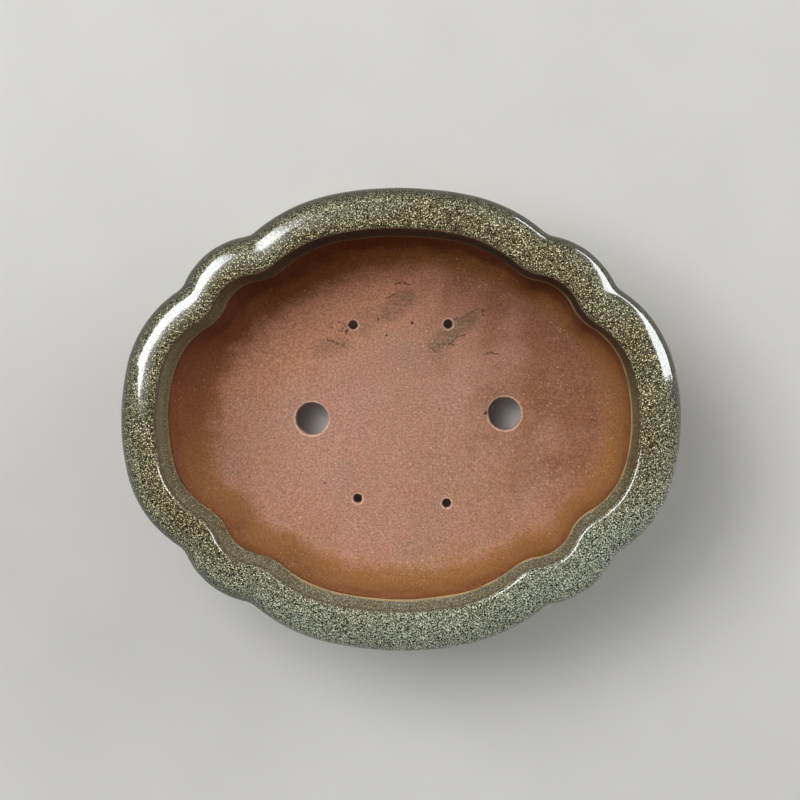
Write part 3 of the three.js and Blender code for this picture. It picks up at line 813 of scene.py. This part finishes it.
def softbox(name, azimuth, zenith, distance, width, height, radiance, diffuse=True, glossy=True):
    """A lamp that faces the pot, from a distance in metres and at angles in degrees."""
    lamp = bpy.data.lights.new(name, "AREA")
    lamp.shape = "RECTANGLE"
    lamp.size, lamp.size_y = width, height
    lamp.energy = radiance * math.pi * width * height
    a, b = math.radians(azimuth), math.radians(zenith)
    direction = Vector((math.sin(b) * math.cos(a), math.sin(b) * math.sin(a), math.cos(b)))
    obj = bpy.data.objects.new(name, lamp)
    obj.location = direction * distance + Vector((0, 0, HEIGHT / 2)) * MM
    obj.rotation_euler = direction.to_track_quat("Z", "Y").to_euler()
    obj.visible_camera = False
    obj.visible_diffuse = diffuse
    obj.visible_glossy = glossy
    bpy.context.scene.collection.objects.link(obj)
    return obj


def shade_lamp(obj, pattern):
    """Gives a lamp the brightness that pattern makes of the way along it and up it."""
    g = Graph(obj.data)
    face = g.node("ShaderNodeNewGeometry", {}, "Parametric")
    strength = pattern(g, g.part(face, "X"), g.part(face, "Y"))
    emission = g.node("ShaderNodeEmission", {"Color": LAMP_COLOUR, "Strength": strength})
    g.links.new(emission, g.nodes.new("ShaderNodeOutputLight").inputs[0])


def key_pattern(g, along, up):
    """A bright band over a dim glow, with soft ends."""
    band = g.times(g.fade(up, 0.0, 0.04), g.fade(up, 0.42, 0.56, 1.0, 0.0), g.fade(along, 0.09, 0.4))
    glow = g.times(g.fade(up, 0.42, 1.0, 0.2, 0.04), g.fade(along, 0.0, 0.5))
    return g.math("ADD", band, glow)


def side_pattern(g, along, up):
    """A bright field that gets lower towards one end, in a dim glow."""
    top = g.times(g.fade(along, 0.22, 0.8, 1.0, 0.2), g.fade(along, 0.06, 0.13, 0.25, 1.0))
    below = g.math("SUBTRACT", top, up)
    field = g.math("ADD", g.fade(below, -0.03, 0.12), g.fade(below, -0.4, 0.0, 0.0, 0.06))
    return g.times(field, g.fade(along, 0.0, 0.03), g.fade(along, 0.95, 1.0, 1.0, 0.0))


# Two shaped lamps that only the glaze mirrors, and four plain ones that light the pot without a reflection:
# azimuth, zenith, distance, width, height and radiance
key = softbox("key", 143, 38, 3.0, 2.6, 2.2, 14.5, diffuse=False)
shade_lamp(key, key_pattern)
side = softbox("side", 35, 62, 2.5, 2.7, 1.7, 14.0, diffuse=False)
shade_lamp(side, side_pattern)
softbox("key_fill", 144, 40, 3.2, 2.2, 1.5, 3.2, glossy=False)
softbox("side_fill", 25, 70, 2.7, 1.9, 1.4, 2.8, glossy=False)
softbox("feather", 144, 31, 2.8, 2.3, 2.0, 1.5, glossy=False)
over = softbox("overhead", 92, 28, 3.1, 2.6, 2.2, 2.45, glossy=False)

# The lamp overhead lights the pot alone, so that the ground seen through the holes is darker
pot_only = bpy.data.collections.new("not_the_ground")
pot_only.objects.link(ground)
pot_only.collection_objects[0].light_linking.link_state = "EXCLUDE"
over.light_linking.receiver_collection = pot_only

# The room is brighter near the horizon than overhead
world = bpy.data.worlds.new("studio")
bpy.context.scene.world = world
room = Graph(world)
direction = room.nodes.new("ShaderNodeTexCoord").outputs["Generated"]
strength = room.fade(room.part(direction, "Z"), 0.05, 0.4, 0.5, 0.16)
back = room.node("ShaderNodeBackground", {"Color": (1, 0.99, 0.97), "Strength": strength})
room.links.new(back, room.nodes.new("ShaderNodeOutputWorld").inputs[0])

camera = bpy.data.objects.new("camera", bpy.data.cameras.new("camera"))
camera.data.sensor_width, camera.data.lens = SENSOR_WIDTH, FOCAL_LENGTH
camera.data.clip_start, camera.data.clip_end = 0.01, 60.0
forward = (CAMERA_AIM - CAMERA_PLACE).normalized()
right = forward.cross(Vector((0, 1, 0))).normalized()
up = right.cross(forward)
turn = Matrix((right, up, -forward)).transposed().to_4x4()
camera.matrix_world = Matrix.Translation(CAMERA_PLACE) @ turn
bpy.context.scene.collection.objects.link(camera)
bpy.context.scene.camera = camera

bpy.context.scene.view_settings.view_transform = "Standard"
